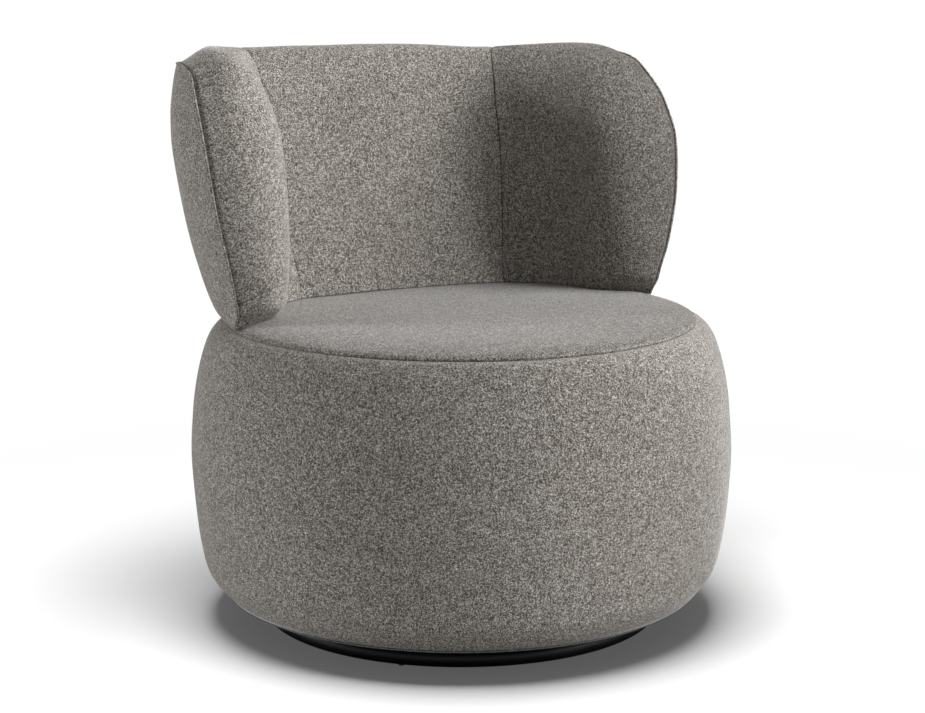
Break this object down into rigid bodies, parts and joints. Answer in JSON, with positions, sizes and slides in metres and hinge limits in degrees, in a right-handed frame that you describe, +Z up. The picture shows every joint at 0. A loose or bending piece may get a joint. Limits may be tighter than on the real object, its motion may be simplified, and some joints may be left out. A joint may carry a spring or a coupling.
{
  "type": "swivel lounge chair",
  "caption": "Low upholstered lounge chair: round padded drum seat with a wrap-around winged back, turning on a ball-bearing turntable over a steel floor ring.",
  "frame": {"origin": "on the floor, on the swivel axis under the middle of the drum", "axes": "+Z up along the swivel axis, -Y the way the sitter faces, +Y to the backrest, +X to the right of the picture when seen from the front"},
  "size_m": [0.76, 0.76, 0.7921],
  "materials": {
    "tweed": "woven tweed, slubbed, matt",
    "hem_fabric": "folded and stitched tweed",
    "black_steel": "satin black powder coat",
    "zinc_steel": "bright zinc plate",
    "bearing_steel": "polished",
    "spring_steel": "oiled spring wire",
    "nylon": "natural nylon",
    "black_plastic": "matt",
    "plywood": "sanded plywood",
    "beech": "planed solid beech",
    "hardboard": "smooth hardboard",
    "foam": "open-cell polyurethane foam",
    "felt": "needled felt",
    "dust_cloth": "non-woven lining"
  },
  "bodies": {
    "base": {"floor_ring": "black_steel", "base_cross": "black_steel", "floor_glide_1": "black_plastic", "floor_glide_2": "black_plastic", "floor_glide_3": "black_plastic", "floor_glide_4": "black_plastic", "turntable_lower_plate": "zinc_steel", "turntable_bolt_1": "zinc_steel", "turntable_bolt_2": "zinc_steel", "turntable_bolt_3": "zinc_steel", "turntable_bolt_4": "zinc_steel"},
    "ball_cage": {"ball_cage": "nylon", "bearing_ball_1": "bearing_steel", "bearing_ball_2": "bearing_steel", "bearing_ball_3": "bearing_steel", "bearing_ball_4": "bearing_steel", "bearing_ball_5": "bearing_steel", "bearing_ball_6": "bearing_steel", "bearing_ball_7": "bearing_steel", "bearing_ball_8": "bearing_steel"},
    "chair": {"turntable_upper_plate": "zinc_steel", "board_screw_1": "zinc_steel", "board_screw_2": "zinc_steel", "board_screw_3": "zinc_steel", "board_screw_4": "zinc_steel", "bottom_board": "plywood", "dust_cover": "dust_cloth", "frame_post_1": "beech", "frame_post_2": "beech", "frame_post_3": "beech", "frame_post_4": "beech", "frame_post_5": "beech", "frame_post_6": "beech", "seat_ring": "plywood", "frame_skin": "hardboard", "seat_spring_1": "spring_steel", "seat_spring_2": "spring_steel", "seat_spring_3": "spring_steel", "seat_spring_4": "spring_steel", "spring_felt": "felt", "seat_foam": "foam", "seat_cover": "tweed", "side_foam": "foam", "drum_cover": "tweed", "hem_band": "hem_fabric", "back_shell": "plywood", "back_post_1": "black_steel", "back_post_2": "black_steel", "back_post_3": "black_steel", "back_bolt_1": "zinc_steel", "back_bolt_2": "zinc_steel", "back_bolt_3": "zinc_steel", "back_foam": "foam", "back_centre_cover": "tweed", "back_left_wing_cover": "tweed", "back_right_wing_cover": "tweed", "back_outer_cover": "tweed", "back_welt": "tweed"}
  },
  "joints": [
    {"name": "seat_swivel", "type": "hinge", "parent": "base", "child": "chair", "pos_m": [0, 0, 0.034], "axis": [0, 0, 1], "continuous": true},
    {"name": "cage_turn", "type": "hinge", "parent": "base", "child": "ball_cage", "pos_m": [0, 0, 0.034], "axis": [0, 0, 1], "continuous": true}
  ],
  "couplings": [
    {"joint": "cage_turn", "follows": "seat_swivel", "ratio": 0.5}
  ]
}
